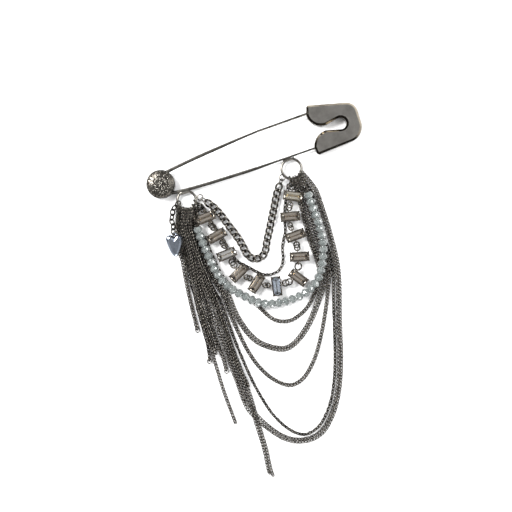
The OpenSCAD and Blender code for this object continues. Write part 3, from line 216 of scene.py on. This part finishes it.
METAL = 1
wire_mat = material("pin_wire", (0.07, 0.066, 0.058), (0.22, 0.208, 0.188), METAL, (0.14, 0.28), 500, 0.3)
guard_mat = material("guard_metal", (0.105, 0.10, 0.092), (0.155, 0.149, 0.138), METAL, (0.30, 0.42),
                     260, 0.35, 1500)
# Sides and bevels of the guard: a finer polish, and a colour painted from near black to bright in broad
# patches as a painted reflection
bevel_polish_and_painted_reflection_mat = material("guard_bevel", (0.04, 0.034, 0.027), (0.30, 0.265, 0.21), METAL, (0.05, 0.13),
                    120, 0.2, 1500)
cap_mat = material("cap_metal", (0.02, 0.018, 0.015), (0.13, 0.12, 0.105), METAL, (0.16, 0.34), 700, 0.4)
leaf_mat = material("cap_relief", (0.10, 0.094, 0.084), (0.34, 0.325, 0.295), METAL, (0.14, 0.3), 900, 0.35)
setting_mat = material("setting_metal", (0.04, 0.034, 0.027), (0.19, 0.165, 0.135), METAL, (0.16, 0.34),
                       700, 0.3)
foil_mat = material("setting_foil", (0.26, 0.22, 0.17), (0.62, 0.56, 0.47), METAL, (0.08, 0.2),
                    700, 0.8, 1500)
chain_mat = material("chain_metal", (0.01, 0.009, 0.008), (0.19, 0.176, 0.155), METAL, (0.1, 0.22),
                     1300, 0.15)
dark_chain_mat = material("chain_metal_dark", (0.012, 0.011, 0.01), (0.09, 0.082, 0.07), METAL, (0.14, 0.3),
                          300, 0.15)
heart_mat = material("heart_metal", (0.17, 0.195, 0.235), (0.34, 0.375, 0.43), METAL, (0.1, 0.18), 300, 0.1)


def stone_glass(name, dark, light):
    return material(name, dark, light, 0, (0.01, 0.04), 500, 0.05, 900, 1.0, 1.58)


stone_mat = stone_glass("stone", (0.50, 0.44, 0.37), (0.70, 0.64, 0.56))
clear_mat = stone_glass("stone_clear", (0.80, 0.79, 0.75), (0.93, 0.92, 0.89))
blue_mat = stone_glass("stone_blue", (0.62, 0.72, 0.86), (0.86, 0.92, 1.0))
cream_mat = stone_glass("stone_cream", (0.80, 0.74, 0.60), (0.95, 0.90, 0.78))
bead_mat = material("bead_glass", (0.23, 0.26, 0.255), (0.41, 0.44, 0.43), 0, (0.01, 0.05), 500, 0.06, 900,
                    0.66, 1.76, 0.7)
thread_mat = material("thread", (0.62, 0.62, 0.60), (0.8, 0.8, 0.78), 0, (0.6, 0.8), 3000, 0.6, 9000)


# ---- lines and joined meshes
def smooth(points, step=0.25):
    p = np.array(points, float)
    p = np.vstack([2 * p[0] - p[1], p, 2 * p[-1] - p[-2]])
    out = []
    for i in range(1, len(p) - 2):
        a, b, c, d = p[i - 1], p[i], p[i + 1], p[i + 2]
        k = max(1, int(round(np.linalg.norm(c - b) / step)))
        t = (np.arange(k) / k)[:, None]
        out.append(0.5 * (2 * b + (c - a) * t + (2 * a - 5 * b + 4 * c - d) * t ** 2
                          + (3 * b - a - 3 * c + d) * t ** 3))
    out.append(p[-2][None, :])
    return np.vstack(out)


def spots(line, s):
    run = np.r_[0, np.cumsum(np.linalg.norm(np.diff(line, axis=0), axis=1))]
    s = np.asarray(s, float)
    return np.stack([np.interp(s, run, line[:, k]) for k in range(3)], -1), run[-1]


def unit(v):
    return v / np.linalg.norm(v, axis=-1, keepdims=True)


def frames(line, s, ahead=0.4):
    p, _ = spots(line, s)
    a, _ = spots(line, np.asarray(s) - ahead)
    b, _ = spots(line, np.asarray(s) + ahead)
    t = unit(b - a)
    side = unit(np.cross(UP, t))
    return p, t, side, np.cross(t, side)


def ring_skin(centre, radius, sides):
    """Points and quads of a closed tube round one closed line, in the line's own coordinates."""
    n = len(centre)
    t = unit(np.roll(centre, -1, 0) - np.roll(centre, 1, 0))
    u = unit(np.cross(t, UP))
    v = np.cross(u, t)
    a = 2 * np.pi * (np.arange(sides) + 0.5) / sides
    pts = centre[:, None] + radius * (np.cos(a)[None, :, None] * u[:, None]
                                      + np.sin(a)[None, :, None] * v[:, None])
    i, j = np.meshgrid(np.arange(n), np.arange(sides), indexing="ij")
    i2, j2 = (i + 1) % n, (j + 1) % sides
    quads = np.stack([i * sides + j, i2 * sides + j, i2 * sides + j2, i * sides + j2], -1).reshape(-1, 4)
    return pts.reshape(-1, 3), quads


def oval(a, b, c, n):
    t = 2 * np.pi * np.arange(n) / n
    return np.stack([a * np.cos(t), b * np.sin(t), c * np.sin(2 * t)], -1)


def placed(pts, p, t, side, up, lean):
    """One copy of pts for each frame, turned by lean round the line."""
    cl, sl = np.cos(lean)[:, None], np.sin(lean)[:, None]
    s2, u2 = cl * side + sl * up, cl * up - sl * side
    return (p[:, None] + pts[None, :, 0:1] * t[:, None] + pts[None, :, 1:2] * s2[:, None]
            + pts[None, :, 2:3] * u2[:, None])


def mesh_object(name, parts, mat, is_smooth=True, body="brooch"):
    """One object from (points, faces) parts in millimetres."""
    verts, faces, at = [], [], 0
    for pts, fs in parts:
        verts.append(pts.reshape(-1, 3))
        faces += [tuple(int(q) + at for q in f) for f in fs]
        at += len(verts[-1])
    me = bpy.data.meshes.new(name)
    me.from_pydata((np.vstack(verts) * MM).tolist(), [], faces)
    me.polygons.foreach_set("use_smooth", [is_smooth] * len(me.polygons))
    me.materials.append(mat)
    me.update()
    ob = bpy.data.objects.new(name, me)
    bpy.context.scene.collection.objects.link(ob)
    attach(ob, body)
    return ob


def copies(pts, quads, count):
    return (np.arange(count)[:, None, None] * len(pts) + quads[None]).reshape(-1, quads.shape[1])


# ---- the fine chains: every link is a closed ring of wire that holds the next
# Width, wire and twist of a drawn link as shares of its strand's width, and pitches in millimetres
LINK_W, LINK_WIRE, LINK_TWIST = 1.24, 0.36, 0.30
LINK_PITCH, BOX_PITCH = 1.22, 1.5
ABOVE_FLOOR = 0.02
CABLE_STRANDS = ("fringe_2", "swag_4", "box_chain")


def fine_chain(name, width, route):
    cable = name in CABLE_STRANDS
    wire = LINK_WIRE * width
    pitch = BOX_PITCH if name == "box_chain" else LINK_PITCH
    half_w = (LINK_W * width - wire) / 2
    half_l = (pitch + 1.12 * wire) / 2
    line = smooth(route)
    length = spots(line, [0])[1]
    n = int(round(length / pitch))
    s = (np.arange(n) + 0.5) * length / n
    p, t, side, up = frames(line, s, 0.5 * pitch)
    if cable:
        ring = oval(half_l, half_w, 0, 12)
        lean = np.radians(np.where(np.arange(n) % 2, 45, -45) + rng.normal(0, 4, n))
    else:
        ring = oval(half_l, half_w, LINK_TWIST * width, 14)
        lean = np.radians(16 * np.sin(s / 11 + len(name)) + rng.normal(0, 5, n))
    pts, quads = ring_skin(ring, wire / 2, 6)
    links = placed(pts, p, t, side, up, lean)
    links[..., 2] += np.maximum(0, ABOVE_FLOOR - links[..., 2].min(1))[:, None]
    ob = mesh_object("links_" + name, [(links, copies(pts, quads, n))],
                     dark_chain_mat if cable else chain_mat)
    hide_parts(name)


for name, width, route in STRANDS:
    fine_chain(name, width, route)

# ---- the link at the top of each strand, round the wire of the ring that it hangs on
RINGS = ((np.array([-31.1, 46.9, 1.95]), 3.675), (np.array([12.5, 46.3, 1.95]), 3.975))
RING_WIRE = 1.05


def ring_eye(end, wire, at_ring):
    """Oval link from the end of a strand round the nearest wire of a ring, as points and quads."""
    mid, r = at_ring
    away = end - mid
    on = mid + unit(np.array([away[0], away[1], 0.0])) * r
    d = end - on
    reach = np.linalg.norm(d)
    long_dir = d / reach
    half_l = (reach + RING_WIRE / 2 + 2 * wire) / 2
    half_w = min(RING_WIRE / 2 + 0.62 * wire, half_l)
    across = unit(np.cross(long_dir, np.cross(UP, unit(np.array([away[0], away[1], 0.0])))))
    mid_link = on + long_dir * (half_l - RING_WIRE / 2 - 0.6 * wire)
    pts, quads = ring_skin(oval(half_l, half_w, 0, 18), wire / 2, 7)
    normal = np.cross(long_dir, across)
    link = mid_link + pts[:, 0:1] * long_dir + pts[:, 1:2] * across + pts[:, 2:3] * normal
    link[:, 2] += max(0, ABOVE_FLOOR - link[:, 2].min())
    return link, quads


eyes = []
for name, width, route in STRANDS:
    if name == "box_chain":
        continue
    wire = 0.3 * width + 0.06
    eyes.append(ring_eye(np.array(route[0], float), wire, RINGS[0]))
    if name.startswith("swag"):
        eyes.append(ring_eye(np.array(route[-1], float), wire, RINGS[1]))
tops = mesh_object("strand_top_links", eyes, chain_mat)

# ---- last link at the loose end of each fringe strand, larger on three of them
BIG_TAILS = ("fringe_1", "fringe_2", "fringe_6")
tails = []
for name, width, route in STRANDS:
    if not name.startswith("fringe"):
        continue
    a, b = np.array(route[-2], float), np.array(route[-1], float)
    d = unit(b - a)
    side = unit(np.cross(UP, d))
    half_l, wire = (1.0, 0.42) if name in BIG_TAILS else (0.62, 0.3)
    pts, quads = ring_skin(oval(half_l, half_l * 0.86, 0, 20), wire / 2, 7)
    centre = b + d * (half_l - 0.25) * 0.4
    centre[2] = max(centre[2], wire / 2 + 0.03)
    tails.append((centre + pts[:, 0:1] * d + pts[:, 1:2] * side + pts[:, 2:3] * UP, quads))
ends_ob = mesh_object("strand_end_links", tails, chain_mat)

# ---- leaves in relief on the dome of the cap
CAP = np.array([-38.9, 56.0])
CAP_R, CAP_SIDE_H, CAP_DOME_H = 5.65, 5.0, 1.1


def dome(r):
    return CAP_SIDE_H + CAP_DOME_H * (1 - (r / CAP_R) ** 2)


def leaf_lift(r):
    """Height over the dome at which the leaves lie on the rosette of the source, or outside it."""
    return 0.42 if 1.4 < r < 3.2 else (0.5 if r <= 1.4 else 0.1)


def leaf(mid_r, turn, slant, length, width, height):
    """Pointed leaf with a ridge, lying on the dome."""
    n = 9
    u = np.linspace(-1, 1, n)
    half = width / 2 * (1 - u ** 2) ** 0.7
    rows = []
    for k in range(n):
        bend = 0.18 * length * (1 - u[k] ** 2)
        for f, up in ((-1, -0.25), (-0.55, 0.55), (0, 1), (0.55, 0.55), (1, -0.25)):
            rows.append((u[k] * length / 2, half[k] * f + bend, up * height * (1 - 0.75 * u[k] ** 2)))
    rows = np.array(rows)
    a = turn + slant
    x = mid_r * math.cos(turn) + rows[:, 0] * math.cos(a) - rows[:, 1] * math.sin(a)
    y = mid_r * math.sin(turn) + rows[:, 0] * math.sin(a) + rows[:, 1] * math.cos(a)
    z = dome(np.hypot(x, y)) + rows[:, 2] + leaf_lift(mid_r)
    faces = [(k * 5 + j, k * 5 + j + 1, (k + 1) * 5 + j + 1, (k + 1) * 5 + j)
             for k in range(n - 1) for j in range(4)]
    return np.stack([x + CAP[0], y + CAP[1], z], -1), faces


# Rows of leaves: count, radius, slant, length and width
LEAF_ROWS = ((5, 0.75, 0.5, 1.2, 0.6), (9, 2.0, -0.7, 1.75, 0.62), (9, 2.5, 0.8, 1.3, 0.45),
             (16, 3.7, 0.75, 1.35, 0.5), (16, 3.85, -0.6, 1.0, 0.36))
LEAF_H = 0.22
leaves = []
for count, mid_r, slant, length, width in LEAF_ROWS:
    for k in range(count):
        turn = 2 * math.pi * (k + 0.5 * (slant < 0)) / count + 0.12 * rng.normal()
        leaves.append(leaf(mid_r, turn, slant + 0.15 * rng.normal(), length, width, LEAF_H))
cap_leaves = mesh_object("cap_leaves", leaves, leaf_mat)

# ---- heavy curb chain, its links in the same places as in the source
CURB_PITCH, CURB_WIRE, CURB_W, SIDE_WIRE, SIDE_R, END_R, END_WIRE = 2.6, 0.6, 3.1, 0.55, 1.4, 1.25, 0.42
CURB_SHOWN = 0.86  # drawn wire: the hammered links are fuller than the round ones of the source
half_l = (CURB_PITCH + CURB_WIRE + 0.17) / 2
half_w = (CURB_W - CURB_WIRE) / 2
step = 2 * END_R - END_WIRE - (SIDE_WIRE + CURB_WIRE) / 2 - 0.25
loops = np.array([[-25.6, 46.4, 1.95], [7.9, 44.1, 1.95]])
ends = []
for q, k in ((loops[0], np.array(CURB_ROUTE[0], float)), (loops[1], np.array(CURB_ROUTE[-1], float))):
    d = unit(k - q)
    ends.append((q + d * (SIDE_R - SIDE_WIRE / 2), d))
first, last = [e + d * (step + half_l) for e, d in ends]
line = smooth([first] + CURB_ROUTE + [last], 0.6)
length = spots(line, [0])[1]
n = int(round(length / CURB_PITCH))
s = np.arange(n + 1) * length / n
c, _ = spots(line, s)
t = np.vstack([c[1] - c[0], c[2:] - c[:-2], c[-1] - c[-2]])
t = unit(t)
side = unit(np.cross(UP, t))
pts, quads = ring_skin(oval(half_l - 0.02, half_w - 0.05, CURB_WIRE / 2 + 0.34, 28), CURB_SHOWN / 2, 10)
parts = [(placed(pts, c, t, side, np.cross(t, side), np.zeros(n + 1)), copies(pts, quads, n + 1))]
pts, quads = ring_skin(oval(END_R, END_R, 0, 28), END_WIRE / 2, 10)
for e, d in ends:
    across = unit(np.cross(UP, d))
    parts.append((placed(pts, (e + d * step / 2)[None], d[None], across[None], np.cross(d, across)[None],
                         np.radians([65.0])), quads))
curb = mesh_object("curb_links", parts, chain_mat)
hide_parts("curb_chain")

# ---- glass beads, with flat facets
BEAD_D, BEAD_PITCH, BEAD_GAP, BEAD_BORE = 3.7, 2.8, 0.18, 1.0
line = smooth(BEAD_ROUTE, 0.3)
length = spots(line, [0])[1]
n = int(round(length / BEAD_PITCH))
h = length / n / 2 - BEAD_GAP / 2
p, t, side, up = frames(line, (np.arange(n) + 0.5) * length / n, length / n / 2)
N = 14
# Rows of a bead from bore to bore: radius, place along the thread, turn by part of a facet
rows = [(BEAD_BORE / 2, -h, 0), (BEAD_D * 0.3, -h, 0), (BEAD_D / 2, -h * 0.3, 0.5),
        (BEAD_D / 2, h * 0.3, 0.5), (BEAD_D * 0.3, h, 0), (BEAD_BORE / 2, h, 0)]
pts = np.array([[x, r * math.cos(2 * math.pi * (j + o) / N), r * math.sin(2 * math.pi * (j + o) / N)]
                for r, x, o in rows for j in range(N)])
faces = []
for i in range(6):
    i2 = (i + 1) % 6
    o1, o2 = rows[i][2], rows[i2][2]
    for j in range(N):
        k = (j + 1) % N
        if o1 == o2:
            faces.append((i * N + j, i * N + k, i2 * N + k, i2 * N + j))
        elif o1 < o2:
            faces += [(i * N + j, i * N + k, i2 * N + j), (i * N + k, i2 * N + k, i2 * N + j)]
        else:
            faces += [(i * N + j, i2 * N + k, i2 * N + j), (i * N + j, i * N + k, i2 * N + k)]
lean = rng.uniform(0, 2 * math.pi, n)
allp = placed(pts, p, t, side, up, lean)
beads = mesh_object("glass_beads", [(allp[i], faces) for i in range(n)], bead_mat, False)
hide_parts("beads")

# ---- finish of the construction parts
LOOKS = {"pin_wire": wire_mat, "guard_metal": guard_mat, "cap_metal": cap_mat, "setting_metal": setting_mat,
         "chain_metal": chain_mat, "heart_metal": heart_mat, "stone": stone_mat, "bead_glass": bead_mat,
         "thread": thread_mat}
for row in frame["record"]["subparts"]:
    ob = nodes[row["node"]]
    ob.data.materials.clear()
    ob.data.materials.append(LOOKS[row["material_slot"]])
    flat = row["material_slot"] == "stone"
    ob.data.polygons.foreach_set("use_smooth", [not flat] * len(ob.data.polygons))
    if not flat and not ob.hide_render:
        ob.data.set_sharp_from_angle(angle=math.radians(34))

nodes["bead_end_rings"].data.materials[0] = dark_chain_mat
# The guard's sides and bevels are smoother than its faces, and their colour is a painted reflection in
# broad patches from near black to bright
FLAT_FACE = 0.95
guard = nodes["guard"]
guard.data.materials.append(bevel_polish_and_painted_reflection_mat)
for poly in guard.data.polygons:
    if abs(poly.normal.z) < FLAT_FACE:
        poly.material_index = 1


def islands(ob):
    """Points of each loose part of a node, in millimetres."""
    me = ob.data
    group = np.arange(len(me.vertices))
    edges = np.empty(len(me.edges) * 2, int)
    me.edges.foreach_get("vertices", edges)
    edges = edges.reshape(-1, 2)
    while True:
        low = np.minimum(group[edges[:, 0]], group[edges[:, 1]])
        new = group.copy()
        np.minimum.at(new, edges[:, 0], low)
        np.minimum.at(new, edges[:, 1], low)
        new = new[new]
        if (new == group).all():
            break
        group = new
    pts = np.array([ob.matrix_world @ v.co for v in me.vertices]) / MM
    return [pts[group == g] for g in np.unique(group)]


def full_rings(name, key, more):
    """The round rings of a node with fuller wire, each in its own place."""
    parts = []
    for pts in islands(nodes[key]):
        mid = (pts.min(0) + pts.max(0)) / 2
        axis = np.linalg.svd(pts - pts.mean(0), full_matrices=False)[2]
        off = (pts - mid) @ axis.T
        wire = 2 * np.abs(off[:, 2]).max()
        r = np.hypot(off[:, 0], off[:, 1]).max() - wire / 2
        skin, quads = ring_skin(oval(r, r, 0, 26), more * wire / 2, 9)
        parts.append((mid + skin @ axis, quads))
    ob = mesh_object(name, parts, dark_chain_mat)
    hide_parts(key)


full_rings("setting_link_rings", "setting_rings", 1.36)
full_rings("heart_link_rings", "heart_links", 1.5)

# Bright bed under each stone, and the tint of single stones
for i in range(1, 12):
    setting, stone = nodes["setting_%d" % i], nodes["stone_%d" % i]
    setting.data.materials.append(foil_mat)
    to_setting = stone.matrix_world.inverted() @ setting.matrix_world
    tree = BVHTree.FromPolygons([v.co.copy() for v in stone.data.vertices],
                                [tuple(q.vertices) for q in stone.data.polygons])
    for poly in setting.data.polygons:
        if poly.normal.z > 0.05 and tree.ray_cast(to_setting @ poly.center, Vector((0, 0, 1)), 0.001)[0]:
            poly.material_index = 1
    tint = {3: clear_mat, 6: blue_mat, 11: cream_mat}.get(i)
    if tint:
        stone.data.materials[0] = tint

# ---- floor, light, camera
bpy.ops.mesh.primitive_plane_add(size=4, location=(0, 0, -0.0001))
floor = bpy.context.object
floor.name = "floor"
floor.data.materials.append(material("floor", (0.86, 0.86, 0.86), (0.9, 0.9, 0.9), 0, (0.55, 0.7),
                                     60, 0.05, 400))


def area(name, size, power, at, target):
    light = bpy.data.lights.new(name, "AREA")
    light.shape = "RECTANGLE"
    light.size, light.size_y = size
    light.energy = power
    ob = bpy.data.objects.new(name, light)
    ob.location = at
    ob.rotation_euler = (Vector(target) - Vector(at)).to_track_quat("-Z", "Y").to_euler()
    bpy.context.scene.collection.objects.link(ob)


# Soft studio light; the powers are in watts for a subject of this size
area("key", (0.22, 0.17), 4.4, (-0.22, 0.26, 0.42), (0, 0, 0))
area("fill", (0.22, 0.4), 1.9, (0.36, 0.05, 0.36), (0, 0, 0))
area("low", (0.5, 0.14), 1.5, (0.0, -0.44, 0.26), (0, 0, 0))
# Studio round the object: dim straight above, bright between, dark near the floor
world = bpy.data.worlds.new("world")
bpy.context.scene.world = world
world.use_nodes = True
wt = world.node_tree
place = wt.nodes.new("ShaderNodeTexCoord")
split = wt.nodes.new("ShaderNodeSeparateXYZ")
bands = wt.nodes.new("ShaderNodeValToRGB")
wt.links.new(place.outputs["Generated"], split.inputs["Vector"])
wt.links.new(split.outputs["Z"], bands.inputs["Fac"])
wt.links.new(bands.outputs["Color"], wt.nodes["Background"].inputs["Color"])
stops = bands.color_ramp.elements
stops[0].position, stops[0].color = 0.0, (0.05, 0.05, 0.05, 1)
stops[1].position, stops[1].color = 1.0, (0.62, 0.62, 0.63, 1)
for at, v in ((0.24, 0.06), (0.42, 1.0), (0.7, 1.1), (0.86, 0.7)):
    stop = stops.new(at)
    stop.color = (v, v, v * 1.01, 1)
wt.nodes["Background"].inputs["Strength"].default_value = 0.85

cam_data = bpy.data.cameras.new("camera")
cam_data.lens = 85
cam_data.sensor_width = 36
cam = bpy.data.objects.new("camera", cam_data)
bpy.context.scene.collection.objects.link(cam)
bpy.context.scene.camera = cam
# Straight above, turned as the photo is; the field is 204.8 mm wide on the floor
up_dir = Vector((0.3007, 0.9537, 0))
right = Vector((0.9537, -0.3007, 0))
height = 204.8 * cam_data.lens / cam_data.sensor_width
cam.matrix_world = Matrix.Translation((-11.41 * MM, 17.44 * MM, height * MM)) @ Matrix(
    ((right.x, up_dir.x, 0, 0), (right.y, up_dir.y, 0, 0), (0, 0, 1, 0), (0, 0, 0, 1)))
cam_data.clip_start, cam_data.clip_end = 0.01, 10
bpy.context.scene.view_settings.view_transform = "Standard"
